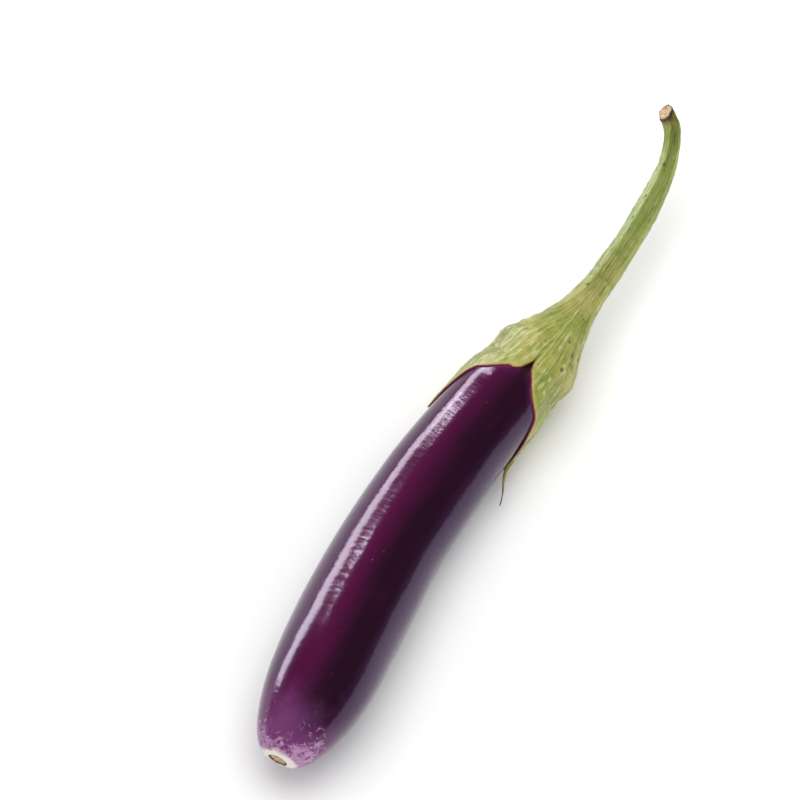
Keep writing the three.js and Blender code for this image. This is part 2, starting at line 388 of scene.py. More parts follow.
def scar_relief(reach, turn, spot):
    """The scar is a shallow corky dish with a raised lip and the dried stump of the flower."""
    edge = scar_edge(turn)
    lip = SCAR_LIP_HEIGHT * bell(reach - edge, SCAR_LIP_WIDTH)
    dish = SCAR_DISH_DEPTH * smoothstep(edge - reach, 0, SCAR_DISH_EDGE)
    cork = CORK_HEIGHT * noise.fractal(spot / CORK_GRAIN, 0.6, 2, 3)
    cork *= smoothstep(edge - reach, 0, CORK_EDGE)
    stump = STUMP_HEIGHT * bell((spot - STUMP_PLACE).length - STUMP_RADIUS, STUMP_WIDTH)
    return lip - dish + cork + stump


# The calyx's edge also decides where the skin under it stays pale, so its outline comes first.
LOBE_LENGTH = 0.045
LOBE_TIP_STATION = FRUIT_LENGTH - LOBE_LENGTH
LOBE_TIP_ANGLES = (98, 139, 180)
VALLEY_DEPTH = 0.007
SPLIT_TURN = 17
SPLIT_DEPTH = 0.036
WIDE_OPENING = 0.0026
NARROW_OPENING = 0.0014


def rim_station(angle):
    """Where the calyx's edge lies, by the angle from its open split."""
    first_tip, second_tip = LOBE_TIP_ANGLES[:2]
    if angle >= first_tip:
        along = ((angle - first_tip) / (second_tip - first_tip)) % 1
        return LOBE_TIP_STATION + VALLEY_DEPTH * math.sin(math.pi * along)
    share = angle / first_tip
    notch = 0.13 * (1 - math.exp(-angle / 5))
    tip = 0.35 * max(0.0, (share - 0.55) / 0.45) ** 1.4
    return LOBE_TIP_STATION + SPLIT_DEPTH * (1 - notch - 0.52 * share - tip)


def angle_from_split(turn):
    """Angle from the calyx's split, from -180 to 180 degrees, of a turn in radians."""
    return (math.degrees(turn) - SPLIT_TURN + 180) % 360 - 180


def edge_station(angle, side):
    """The calyx's edge, with the split pulled open, on one side more than on the other."""
    if side > 0:
        return rim_station(angle) + WIDE_OPENING * bell(angle - 13, 11)
    return rim_station(angle) + NARROW_OPENING * bell(angle - 20, 14)


bm = spin_chain([(s, 0 if s in (0.0, FRUIT_LENGTH) else fruit_radius(s)) for s in fruit_rings()],
                FRUIT_COLUMNS)
straight = bm.verts.layers.float_vector.new("straight")
from_scar = bm.verts.layers.float.new("from_scar")
from_calyx = bm.verts.layers.float.new("from_calyx")
from_split = bm.verts.layers.float.new("from_split")
for vert in bm.verts:
    station, radius, turn = vert.co.x, math.hypot(vert.co.y, vert.co.z), turn_of(vert)
    spot = vert.co.copy()
    outward = skin_normal(station)
    reach = math.hypot(radius, blunted(station) - BLOSSOM_BLUNTING)
    swelling = noise.noise(spot / BROAD_SWELLING) + 0.45 * noise.noise(spot / FINE_SWELLING)
    relief = SKIN_UNEVENNESS * swelling * smoothstep(reach, 0.004, 0.02)
    if reach < SCAR_RADIUS * 2:
        relief += scar_relief(reach, turn, spot)
    vert[straight] = spot
    vert[from_scar] = reach / scar_edge(turn)
    angle = angle_from_split(turn)
    vert[from_calyx] = (edge_station(abs(angle), angle) - station) * 1000
    vert[from_split] = abs(angle)
    lean = SCAR_LEAN * max(0.0, 1 - station / BLOSSOM_ROUNDING) ** 2
    radius += relief * outward.y
    laid = lay(centreline, blunted(station) + relief * outward.x, radius, turn)
    sideways = centreline.at(station)[1].cross(SKYWARD).normalized()
    vert.co = laid - sideways * lean
    vert.co.z = max(0.0, vert.co.z)

DEEP_PURPLE = (0.016, 0.0035, 0.012)
MAGENTA_FLUSH_AND_PAINTED_LIGHT = (0.088, 0.004, 0.045)
FAR_FLANK_PAINTED_REFLECTION = (0.045, 0.004, 0.050)
NEAR_FLANK_PAINTED_REFLECTION = (0.045, 0.018, 0.060)
UNDER_CALYX_VIOLET = (0.10, 0.012, 0.13)
CALYX_LINE_PINK = (0.23, 0.035, 0.10)
FRUIT_NOTCH_SHADE = (0.035, 0.010, 0.006)
BLOSSOM_VIOLET = (0.17, 0.045, 0.155)
FLAKE_PINK = (0.56, 0.31, 0.52)
STROKE_LILAC = (0.55, 0.42, 0.60)
RING_CREAM = (0.80, 0.72, 0.66)
CORK_BROWN = (0.40, 0.27, 0.11)
CORK_TAN = (0.70, 0.58, 0.34)
SCAR_OUTLINE_BROWN = (0.12, 0.055, 0.02)
PORE_LILAC = (0.36, 0.22, 0.36)
DENT_BUMP = 0.00012
RIPPLE_BUMP = 0.00006
WAVE_BUMP = 0.00003
PEEL_BUMP = 0.000002
CORK_BUMP = 0.00025
PORE_BUMP = 0.00003

skin = Finish("waxy purple skin")
place = skin.node("TexCoord", output=3)
grown = skin.attribute("straight", 1)
scar_away = skin.attribute("from_scar")
calyx_away = skin.attribute("from_calyx")
split_away = skin.attribute("from_split")

# Near-black purple that goes to magenta in random patches, in faint lengthwise streaks, and as
# painted light towards +Y, the side that faces the lamps.
sunned = skin.noise(place, 14, 3)
sideways = skin.node("VectorMath", grown, (0, 0.97, 0.24), output=1, operation="DOT_PRODUCT")
# Painted light: magenta laid on the side of the skin that faces the lamps.
painted_lit_side = skin.rise(sideways, -0.004, 0.010)
streaks = skin.noise(skin.stretched(grown, (30, 260, 260)), 1, 5, 0.6)
flush_and_painted_light = skin.math("ADD", skin.math("MULTIPLY", painted_lit_side, 0.8),
                  skin.math("MULTIPLY", skin.math("SUBTRACT", sunned, 0.5), 0.8))
streaked = skin.math("MULTIPLY", skin.math("SUBTRACT", streaks, 0.5), 0.5)
flush_and_painted_light = skin.math("ADD", flush_and_painted_light, streaked, True)
colour = skin.mix(flush_and_painted_light, DEEP_PURPLE, MAGENTA_FLUSH_AND_PAINTED_LIGHT)
# Painted reflection: the skin turns violet along both flanks, standing in for the pale table
# reflected there.
colour = skin.mix(skin.rise(sideways, 0.011, 0.017, 0, 0.8), colour, FAR_FLANK_PAINTED_REFLECTION)
colour = skin.mix(skin.rise(sideways, -0.008, -0.016, 0, 0.8), colour, NEAR_FLANK_PAINTED_REFLECTION)

# Paler violet under the calyx's edge, and painted shade, a near-black brown, in its notch where
# the calyx stands off the fruit.
near_calyx = skin.rise(calyx_away, 5.5, 0.2)
colour = skin.mix(skin.math("MULTIPLY", near_calyx, 0.35), colour, UNDER_CALYX_VIOLET)
calyx_line = skin.rise(calyx_away, 1.5, 0.1)
colour = skin.mix(skin.math("MULTIPLY", calyx_line, 0.8), colour, CALYX_LINE_PINK)
# Painted shade: the skin in the calyx's notch is darkened to near-black brown.
notch = skin.math("MULTIPLY", skin.rise(calyx_away, 6.5, 1.0), skin.rise(split_away, 9, 3))
colour = skin.mix(notch, colour, FRUIT_NOTCH_SHADE)

# The blossom end fades to violet, with a flaky bloom of pink and white round the scar.
soft = skin.math("SUBTRACT", skin.noise(place, 55, 4), 0.5)
faded = skin.math("ADD", scar_away, skin.math("MULTIPLY", soft, 7))
colour = skin.mix(skin.rise(faded, 9.5, 2.5, 0, 0.9), colour, BLOSSOM_VIOLET)
flakes = skin.noise(place, 520, 8, 0.7, 0.8)
patches = skin.noise(place, 130, 4, 0.6)
shaded_side = skin.rise(sideways, 0.004, -0.010, 0, 0.12)
cover = skin.math("ADD", skin.math("MULTIPLY", patches, 0.55), shaded_side)
cover = skin.math("SUBTRACT", cover, skin.math("MULTIPLY", scar_away, 0.052))
flaky = skin.rise(skin.math("ADD", flakes, cover), 0.64, 0.84)
colour = skin.mix(skin.math("MULTIPLY", flaky, 0.75), colour, FLAKE_PINK)
strokes = skin.noise(skin.stretched(grown, (170, 900, 900)), 1, 6, 0.7)
on_sides = skin.math("MULTIPLY", skin.rise(scar_away, 7.5, 3.5), skin.rise(sideways, 0.006, 0.013))
stroke = skin.math("MULTIPLY", skin.rise(strokes, 0.54, 0.66), on_sides)
colour = skin.mix(skin.math("MULTIPLY", stroke, 0.7), colour, STROKE_LILAC)
ring = skin.rise(skin.math("ADD", scar_away, skin.math("MULTIPLY", patches, 1.8)), 3.3, 2.6)
colour = skin.mix(ring, colour, RING_CREAM)

# The scar itself is tan cork with a brown outline.
cork_grain = skin.noise(place, 1500, 5, 0.7)
cork = skin.mix(skin.rise(cork_grain, 0.35, 0.65), CORK_BROWN, CORK_TAN)
outline = skin.rise(scar_away, 0.72, 0.92)
cork = skin.mix(outline, cork, SCAR_OUTLINE_BROWN)
frayed = skin.math("ADD", scar_away, skin.math("MULTIPLY", cork_grain, 0.12))
on_scar = skin.rise(frayed, 1.16, 1.06)
colour = skin.mix(on_scar, colour, cork)

# Tiny pale pores, and hair scratches in the wax.
pores = skin.cells(place, 190)
pore = skin.math("MULTIPLY", skin.rise(pores, 0.055, 0.03),
                 skin.rise(skin.noise(place, 45, 2), 0.5, 0.62))
colour = skin.mix(skin.math("MULTIPLY", pore, 0.55), colour, PORE_LILAC)

dry = skin.math("ADD", on_scar, skin.math("MULTIPLY", flaky, 0.5), True)
dullness = skin.math("ADD", skin.math("MULTIPLY", skin.noise(place, 90, 5, 0.6), 0.12), 0.12)
dullness = skin.math("ADD", dullness, skin.math("MULTIPLY", dry, 0.4), True)
gloss = skin.math("SUBTRACT", 0.3, skin.math("MULTIPLY", dry, 0.3), True)

ripples = skin.noise(skin.stretched(grown, (620, 170, 170)), 1, 3, 0.55)
dents = skin.noise(place, 115, 3, 0.5)
peel = skin.noise(place, 2100, 3, 0.6)
relief = skin.bump(dents, DENT_BUMP)
relief = skin.bump(ripples, RIPPLE_BUMP, relief)
relief = skin.bump(skin.noise(place, 420, 2), WAVE_BUMP, relief)
relief = skin.bump(peel, PEEL_BUMP, relief)
relief = skin.bump(skin.math("MULTIPLY", cork_grain, on_scar), CORK_BUMP, relief)
relief = skin.bump(skin.math("MULTIPLY", pore, -1), PORE_BUMP, relief)
skin.set(Base_Color=colour, Roughness=dullness, Coat_Weight=gloss, Normal=relief,
         Coat_Normal=relief)
skin.set(Coat_Roughness=0.09, Coat_IOR=1.45, IOR=1.45, Specular_IOR_Level=0.32)
skin.set(Specular_Tint=(0.82, 0.6, 1, 1))

make_piece("fruit_skin", bm, skin.material, "fruit")

# ---------------------------------------------------------------------------------- calyx
# A leathery green cap of five sepals that grew together, thin at its edge and thick at the
# crown, where it runs on into the stem. It hugs the fruit's shoulder and is split open on one
# side. It is wrinkled lengthwise and pitted where prickles and pimples have dried.

CALYX_GAP = 0.00030
RIM_THICKNESS = 0.00055
RIM_THICKENING = 0.015
TIP_COLUMNS = (22, 31, 40)
KEEL_PROUD = 0.0017
KEEL_WIDTH = 13
VALLEY_DROP = 0.0015
SHOULDER_TUCK = 0.0003
PRESSED_LOBE_DROP = 0.0007
PRESSED_LOBE_WIDTH = 25
CROWN_RADIUS = 0.0056
SPREAD_BEFORE = 0.012
SPREAD_AFTER = 0.008
RIB_HEIGHT = 0.0003
RIB_ANGLES = (36, 108, 180)
GREEN_COLUMNS = 256
LINING_ROWS = 12
EDGE_ROWS = 4
SKIN_ROWS = 150
FOLD_HEIGHT = 0.00036
VEIN_HEIGHT = 0.00026
PUCKER_HEIGHT = 0.00010
SHOULDER_PUCKER_HEIGHT = 0.00048
PUCKER_SIZE = 0.0046
PIT_DEPTH = 0.00030
PIT_SPACING = 0.0052
RIM_TEAR = 0.0006
RIM_FRAY = 0.00025
NOTCH_LIFT = 0.0008
RIM_CURL = 0.00022
CURL_REACH = 0.004


def spread_angle(column, keel_angles):
    """Angle from the split of a column, which is from 0 to 40 on either side."""
    columns, angles = (0, *TIP_COLUMNS), (0, *keel_angles)
    i = next(i for i, tip in enumerate(TIP_COLUMNS) if column <= tip + 1e-6)
    share = (column - columns[i]) / (columns[i + 1] - columns[i])
    return lerp(angles[i], angles[i + 1], share)


def column_angle(column, crownward):
    return lerp(spread_angle(column, LOBE_TIP_ANGLES), spread_angle(column, RIB_ANGLES), crownward)


def keel_share(angle, keel_angles):
    """1 on a keel or rib and 0 well away from it."""
    return bell(min(abs(angle - keel) for keel in keel_angles), KEEL_WIDTH)


def flare_point(length_share, radius_share):
    radius = lerp(CROWN_RADIUS, SHOULDER_RADIUS, radius_share)
    return Vector((CORNER_STATION + FLARE_LENGTH * length_share, radius, 0))


cap_outline = Path([
    Vector((LOBE_TIP_STATION - 0.010, SHOULDER_RADIUS + KEEL_PROUD, 0)),
    Vector((LOBE_TIP_STATION + 0.018, SHOULDER_RADIUS + KEEL_PROUD, 0)),
    Vector((CORNER_STATION - 0.011, SHOULDER_RADIUS - SHOULDER_TUCK, 0)),
    Vector((CORNER_STATION - 0.005, SHOULDER_RADIUS - SHOULDER_TUCK, 0)),
    flare_point(0, 1),
    flare_point(0.17, 0.75),
    flare_point(0.33, 0.5),
    flare_point(0.6, 0.19),
    flare_point(0.83, 0.05),
    flare_point(1, 0),
])
cap_stations = [place.x for place in cap_outline.places]


def cap_radius(station):
    """Outer radius of the cap along a keel."""
    i = clamp(bisect(cap_stations, station), 1, len(cap_stations) - 1)
    before, after = cap_outline.places[i - 1], cap_outline.places[i]
    share = clamp((station - before.x) / (after.x - before.x))
    return lerp(before.y, after.y, share)


def fibre_place(station, column_turn, tightness):
    """Where a fibre of the green skin lies, for patterns that follow the fibres."""
    return Vector((station, math.sin(column_turn) * tightness, math.cos(column_turn) * tightness))


def pit_depth(spot):
    """Some cells of the green skin hold a dried pit, and 1 is its middle."""
    distances, centres = noise.voronoi(spot / PIT_SPACING)
    chosen = noise.noise(centres[0] * 9.7) > 0.06
    return bell(distances[0], 0.20) if chosen else 0.0


def green_relief(station, column_turn, spot, crownward):
    """Height of the wrinkles, veins and puckers of the calyx and the stem, and the vein's
    strength.
    """
    folds = noise.noise(fibre_place(station / 0.016, column_turn, 7))
    veins = noise.noise(fibre_place(station / 0.011 + 40, column_turn, 13))
    vein = max(0.0, 1 - abs(veins) * 3.2) ** 2
    puckers = noise.fractal(spot / PUCKER_SIZE, 0.7, 2, 3)
    on_shoulder = smoothstep(station, LOBE_TIP_STATION + 0.012, CORNER_STATION) * (1 - crownward)
    height = FOLD_HEIGHT * folds + VEIN_HEIGHT * vein + PUCKER_HEIGHT * puckers
    height += SHOULDER_PUCKER_HEIGHT * puckers * on_shoulder
    return height, vein


def place_green(vert, layers, station, radius, angle, side, column_turn, rim_away, crownward):
    """Moves a vertex of the calyx or stem into place and notes what its finish needs."""
    turn = math.radians(side * angle + SPLIT_TURN)
    spot = Vector((station, -radius * math.sin(turn), radius * math.cos(turn)))
    height, vein = green_relief(station, column_turn, spot, crownward)
    pit = pit_depth(spot) * smoothstep(rim_away, 0.003, 0.007)
    settled = smoothstep(rim_away, 0.0, 0.005)
    radius += (height - PIT_DEPTH * pit) * settled
    vert[layers["fibre"]] = fibre_place(station, column_turn, SHOULDER_RADIUS)
    vert[layers["from_rim"]] = rim_away * 1000
    vert[layers["pit"]] = pit
    vert[layers["vein"]] = vein * settled
    vert[layers["from_notch"]] = angle
    vert.co = lay(centreline, station, radius, turn)


def green_layers(bm):
    layers = {"fibre": bm.verts.layers.float_vector.new("fibre")}
    for name in ("from_rim", "pit", "vein", "from_notch", "from_cut", "from_crown"):
        layers[name] = bm.verts.layers.float.new(name)
    return layers


def column_of(vert):
    """The side of the split, the column from 0 to 40 and the turn of a spun vertex."""
    column_turn = turn_of(vert)
    side = 1 if column_turn >= 0 else -1
    return side, abs(column_turn) / math.pi * TIP_COLUMNS[-1], column_turn


def ragged_rim(angle, side):
    """The edge of the calyx is a little torn and uneven."""
    around = math.radians(angle)
    place = Vector((math.cos(around) * 6, math.sin(around) * 6 * side, 3))
    torn = RIM_TEAR * noise.noise(place) + RIM_FRAY * noise.noise(place * 4)
    return edge_station(angle, side) + torn


def rim_lift(angle, side):
    """How far the edge stands off the fruit: it opens at the notch and curls here and there."""
    around = math.radians(angle)
    place = Vector((math.cos(around) * 3, math.sin(around) * 3 * side, 9))
    return NOTCH_LIFT * bell(angle, 14) + RIM_CURL * max(0.0, noise.noise(place))


def outer_skin(station, angle, rim, crownward, pressed, lift):
    """Radius of the calyx's outer skin, which is thin at the edge and thickens away from it."""
    keel = lerp(keel_share(angle, LOBE_TIP_ANGLES), keel_share(angle, RIB_ANGLES), crownward)
    drop = lerp(VALLEY_DROP, RIB_HEIGHT, crownward) * (1 - keel)
    flattened = PRESSED_LOBE_DROP * pressed * (1 - crownward)
    bed = fruit_radius(station, CALYX_GAP) + RIM_THICKNESS
    edge = max(bed, fruit_radius(rim, CALYX_GAP) + RIM_THICKNESS) + lift
    thickened = smoothstep(station - rim, 0, RIM_THICKENING)
    return lerp(edge, max(bed, cap_radius(station) - drop - flattened), thickened)


last_row = LINING_ROWS + EDGE_ROWS + SKIN_ROWS + 1
bm = spin_chain([(row, 0 if row in (0, last_row) else 1) for row in range(last_row + 1)],
                GREEN_COLUMNS)
layers = green_layers(bm)
for vert in bm.verts:
    row = round(vert.co.x)
    side, column, column_turn = column_of(vert)
    rim_angle = column_angle(column, 0)
    rim = ragged_rim(rim_angle, side)
    lift = rim_lift(rim_angle, side)
    vert[layers["from_cut"]] = 99
    vert[layers["from_crown"]] = 0
    if row <= LINING_ROWS:
        share = math.cos((row / LINING_ROWS) * math.pi / 2)
        station = lerp(rim, FRUIT_LENGTH + CALYX_GAP, share)
        curled = lift * math.exp(-(station - rim) / CURL_REACH)
        radius = 0 if row == 0 else fruit_radius(station, CALYX_GAP) + curled
        turn = math.radians(side * rim_angle + SPLIT_TURN)
        vert[layers["fibre"]] = fibre_place(station, column_turn, SHOULDER_RADIUS)
        vert[layers["from_notch"]] = rim_angle
        vert.co = lay(centreline, station, radius, turn)
    elif row <= LINING_ROWS + EDGE_ROWS:
        swing = math.pi * (row - LINING_ROWS) / (EDGE_ROWS + 1)
        radius = fruit_radius(rim, CALYX_GAP) + lift + RIM_THICKNESS / 2 * (1 - math.cos(swing))
        station = rim - RIM_THICKNESS / 2 * math.sin(swing)
        vert[layers["fibre"]] = fibre_place(station, column_turn, SHOULDER_RADIUS)
        vert[layers["from_notch"]] = rim_angle
        vert.co = lay(centreline, station, radius, math.radians(side * rim_angle + SPLIT_TURN))
    elif row == last_row:
        vert.co = lay(centreline, CROWN_STATION, 0, 0)
    else:
        share = ((row - LINING_ROWS - EDGE_ROWS - 1) / (SKIN_ROWS - 1)) ** 1.15
        station = lerp(rim, CROWN_STATION, share)
        crownward = smoothstep(station, CORNER_STATION - SPREAD_BEFORE,
                               CROWN_STATION - SPREAD_AFTER)
        angle = column_angle(column, crownward)
        pressed = bell(angle - LOBE_TIP_ANGLES[0], PRESSED_LOBE_WIDTH) if side < 0 else 0
        radius = outer_skin(station, angle, rim, crownward, pressed, lift)
        place_green(vert, layers, station, radius, angle, side, column_turn, station - rim,
                    crownward)


YOUNG_CALYX_GREEN = (0.25, 0.29, 0.040)
YOUNG_STEM_GREEN = (0.24, 0.32, 0.045)
RIPE_CALYX_GREEN = (0.43, 0.39, 0.10)
RIPE_STEM_GREEN = (0.37, 0.41, 0.10)
STRAND_SHADOW = (0.10, 0.13, 0.014)
STRAND_PAINTED_HIGHLIGHT = (0.64, 0.66, 0.32)
DASH_GREEN = (0.075, 0.085, 0.010)
VEIN_CREAM = (0.70, 0.72, 0.36)
FRECKLE_OLIVE = (0.12, 0.13, 0.02)
PIT_OLIVE = (0.085, 0.085, 0.012)
RIM_STRAW = (0.50, 0.40, 0.13)
RIM_BROWN = (0.30, 0.11, 0.05)
CALYX_NOTCH_SHADE = (0.045, 0.016, 0.006)
DRYING_BROWN = (0.25, 0.17, 0.035)
DRIED_BROWN = (0.085, 0.038, 0.012)
WOOD_BROWN = (0.34, 0.16, 0.05)
WOOD_TAN = (0.66, 0.46, 0.22)
PITH_BROWN = (0.10, 0.04, 0.012)
STRAND_BUMP = 0.00030
DASH_BUMP = 0.00015
GRAIN_BUMP = 0.00010
PEBBLE_BUMP = 0.00007


def green_finish(name):
    """Leathery green skin: fibres along it, with painted shade in their grooves and painted
    highlights on their ridges, pale veins, dark pits, browned, dry edges and painted shade in the
    notch.
    """
    green = Finish(name)
    place = green.node("TexCoord", output=3)
    fibre = green.attribute("fibre", 1)
    rim_away = green.attribute("from_rim")
    notch_away = green.attribute("from_notch")
    pit = green.attribute("pit")
    vein = green.attribute("vein")
    cut_away = green.attribute("from_cut")
    on_stem = green.rise(green.attribute("from_crown"), -4, 24)

    clouds = green.noise(place, 70, 4, 0.6)
    young = green.mix(on_stem, YOUNG_CALYX_GREEN, YOUNG_STEM_GREEN)
    ripe = green.mix(on_stem, RIPE_CALYX_GREEN, RIPE_STEM_GREEN)
    colour = green.mix(green.rise(clouds, 0.36, 0.64), young, ripe)
    strands = green.noise(green.stretched(fibre, (48, 400, 400)), 1, 5, 0.55)
    # Painted shade in the grooves between the fibres, and painted highlights along their raised
    # ridges.
    colour = green.mix(green.rise(strands, 0.50, 0.32, 0, 0.7), colour, STRAND_SHADOW)
    colour = green.mix(green.rise(strands, 0.56, 0.74, 0, 0.5), colour, STRAND_PAINTED_HIGHLIGHT)
    dashes = green.noise(green.stretched(fibre, (330, 1500, 1500)), 1, 6, 0.7)
    sparse = green.rise(green.noise(place, 120, 3), 0.45, 0.60)
    dashed = green.math("MULTIPLY", green.rise(dashes, 0.56, 0.66), sparse)
    colour = green.mix(green.math("MULTIPLY", dashed, 0.7), colour, DASH_GREEN)
    colour = green.mix(green.rise(vein, 0.35, 0.95, 0, 0.5), colour, VEIN_CREAM)
    freckles = green.noise(place, 520, 4, 0.7)
    colour = green.mix(green.rise(freckles, 0.60, 0.72, 0, 0.45), colour, FRECKLE_OLIVE)
    pitted = green.rise(green.math("ADD", pit, green.math("MULTIPLY", freckles, 0.5)), 0.55, 1.05)
    colour = green.mix(green.math("MULTIPLY", pitted, 0.85), colour, PIT_OLIVE)

    # The edge dries to a thin line, orange-brown outside; in the notch it is darkened further with
    # painted shade.
    worn = green.math("ADD", rim_away, green.math("MULTIPLY", strands, 1.4))
    colour = green.mix(green.rise(worn, 3.2, 1.4, 0, 0.6), colour, RIM_STRAW)
    colour = green.mix(green.rise(worn, 1.35, 0.75, 0, 0.9), colour, RIM_BROWN)
    # Painted shade: the calyx's edge in the notch is darkened to near-black brown.
    notch_shade_mask = green.math("MULTIPLY", green.rise(notch_away, 10, 3), green.rise(worn, 3.0, 1.2))
    colour = green.mix(notch_shade_mask, colour, CALYX_NOTCH_SHADE)

    # The cut end of the stem is dry: a dark rim of skin round tan wood.
    fraying = green.math("MULTIPLY", green.noise(place, 330, 5, 0.7), 5)
    drying = green.math("ADD", cut_away, fraying)
    colour = green.mix(green.rise(drying, 9.0, 5.0, 0, 0.75), colour, DRYING_BROWN)
    colour = green.mix(green.rise(drying, 5.2, 3.2, 0, 0.9), colour, DRIED_BROWN)
    wood = green.mix(green.rise(green.noise(place, 1700, 4), 0.4, 0.6),
                     WOOD_BROWN, WOOD_TAN)
    colour = green.mix(green.rise(cut_away, -0.2, -0.6), colour, wood)
    pith = green.math("ADD", cut_away, green.math("MULTIPLY", freckles, 1.2))
    pith = green.rise(pith, -1.7, -2.3)
    colour = green.mix(pith, colour, PITH_BROWN)

    grain = green.noise(green.stretched(fibre, (160, 1500, 1500)), 1, 4, 0.6)
    pebbles = green.noise(place, 900, 4, 0.6)
    dullness = green.rise(green.math("ADD", clouds, green.math("MULTIPLY", pebbles, 0.6)),
                          0.5, 1.1, 0.32, 0.52)
    relief = green.bump(strands, STRAND_BUMP)
    relief = green.bump(dashed, -DASH_BUMP, relief)
    relief = green.bump(grain, GRAIN_BUMP, relief)
    relief = green.bump(pebbles, PEBBLE_BUMP, relief)
    green.set(Base_Color=colour, Roughness=dullness, Normal=relief)
    green.set(IOR=1.45, Coat_Weight=0.25, Coat_Roughness=0.3)
    return green.material


calyx_green = green_finish("leathery calyx")
make_piece("calyx_cap", bm, calyx_green, "calyx")

# ---------------------------------------------------------------------------- sepal thread
# The first sepal's tip, dried to a thin brown thread. It grows out of the lobe's tip, follows
# the fruit for a few millimetres and then hangs clear of it with a slight curl.

THREAD_RADIUS = 0.0006
THREAD_LENGTH = 0.017
THREAD_HANG = 0.0066
THREAD_ROOT = 0.005
THREAD_GAP = 0.00035
THREAD_BASE_WIDTH = 0.00080
THREAD_TIP_WIDTH = 0.00024
THREAD_WRINKLE = 0.0016
THREAD_COLUMNS = 20
THREAD_ROWS = 110


def thread_knot(share, clear_of_fruit, turn_back):
    station = LOBE_TIP_STATION + THREAD_ROOT - THREAD_LENGTH * share
    radius = body_radius(station) + THREAD_GAP + THREAD_RADIUS + clear_of_fruit
    turn = math.radians(LOBE_TIP_ANGLES[0] + SPLIT_TURN - 4 + turn_back)
    return lay(centreline, station, radius, turn) + rest_point


thread_path = Path([
    thread_knot(0, 0.0002, 0),
    thread_knot(0.25, 0.0001, 0),
    thread_knot(0.5, THREAD_HANG * 0.17, -2),
    thread_knot(0.78, THREAD_HANG * 0.64, 2),
    thread_knot(1, THREAD_HANG, 8),
])
bm = spin_chain([(row, 0 if row in (0, THREAD_ROWS) else 1) for row in range(THREAD_ROWS + 1)],
                THREAD_COLUMNS)
layers = green_layers(bm)
for vert in bm.verts:
    share = vert.co.x / THREAD_ROWS
    turn = turn_of(vert)
    station = thread_path.length * share
    on_surface = math.hypot(vert.co.y, vert.co.z)
    shrivelled = 1 + 0.18 * noise.noise(fibre_place(station / THREAD_WRINKLE, turn, 1.5))
    width = lerp(THREAD_BASE_WIDTH, THREAD_TIP_WIDTH, smoothstep(share, 0.05, 0.85)) * shrivelled
    rounded = math.sqrt(clamp(1 - (max(0.0, share - 0.97) / 0.03) ** 2))
    flat = lerp(0.55, 0.85, share)
    radius = on_surface * width * rounded * math.hypot(math.sin(turn), flat * math.cos(turn))
    vert[layers["fibre"]] = fibre_place(station, turn, THREAD_RADIUS)
    vert[layers["from_rim"]] = lerp(5, 0.6, smoothstep(share, 0.1, 0.8))
    vert[layers["from_notch"]] = 90
    vert[layers["from_cut"]] = lerp(6.5, 1.5, smoothstep(share, 0.1, 0.75))
    vert.co = lay(thread_path, station, radius, turn)
make_piece("sepal_thread", bm, calyx_green, "calyx")

# ----------------------------------------------------------------------------------- stem
# The green stalk that the fruit hung from: fibrous, with five low ribs that run on from the
# calyx. It thins towards its end, curls up and sideways there, and was cut off on a slant. The
# cut has dried brown, with the tan wood and the darker pith showing.

STEM_RADIUS = 0.0044
STEM_END_RADIUS = 0.0032
CUT_SLANT = 0.45
STEM_ROWS = 150
CUT_ROWS = 7
STEM_FULLNESS = 0.0004
TORN_HEIGHT = 0.0003
TORN_GRAIN = 0.0009
CUT_HOLLOW = 0.0005
CLEAR_OF_RIM = 0.02
STEM_END = centreline.length - STEM_END_RADIUS * CUT_SLANT


def stem_skin(share, angle):
    flare = (CROWN_RADIUS - STEM_RADIUS) * math.exp(-share * 7)
    taper = lerp(STEM_RADIUS, STEM_END_RADIUS, smoothstep(share, 0.36, 0.85))
    taper += STEM_FULLNESS * smoothstep(share, 0, 0.12) * (1 - smoothstep(share, 0.5, 0.8))
    return taper + flare - RIB_HEIGHT * (1 - keel_share(angle, RIB_ANGLES))


last_row = STEM_ROWS + CUT_ROWS + 1
bm = spin_chain([(row, 0 if row in (0, last_row) else 1) for row in range(last_row + 1)],
                GREEN_COLUMNS)
layers = green_layers(bm)
for vert in bm.verts:
    row = round(vert.co.x)
    side, column, column_turn = column_of(vert)
    angle = column_angle(column, 1)
    share = clamp((row - 1) / (STEM_ROWS - 1))
    slant = CUT_SLANT * STEM_END_RADIUS * math.sin(math.radians(side * angle)) * share**8
    station = lerp(CROWN_STATION, STEM_END, share) + slant
    if row == 0:
        vert.co = lay(centreline, CROWN_STATION, 0, 0)
    elif row <= STEM_ROWS:
        place_green(vert, layers, station, stem_skin(share, angle), angle, side, column_turn,
                    CLEAR_OF_RIM, 1)
        vert[layers["from_cut"]] = (STEM_END + slant - station) * 1000 + (1 - share) * 10
    else:
        inward = (row - STEM_ROWS) / (CUT_ROWS + 1)
        turn = math.radians(side * angle + SPLIT_TURN)
        radius = STEM_END_RADIUS * (1 - inward)
        spot = Vector((0, radius * math.sin(turn), radius * math.cos(turn)))
        torn = TORN_HEIGHT * noise.noise(spot / TORN_GRAIN)
        torn -= CUT_HOLLOW * smoothstep(inward, 0.05, 0.6)
        slant *= 1 - inward
        vert[layers["from_cut"]] = -inward * 3
        vert.co = lay(centreline, STEM_END + slant + torn, radius, turn)
    vert[layers["from_rim"]] = 20
    vert[layers["from_notch"]] = 90
    vert[layers["from_crown"]] = (station - CROWN_STATION) * 1000
make_piece("stem_stalk", bm, green_finish("fibrous stem"), "stem")

# ---------------------------------------------------------------------------------- table
# A plain, pale table top, wide enough to run out of sight, with a dull face whose grey varies a
# little.

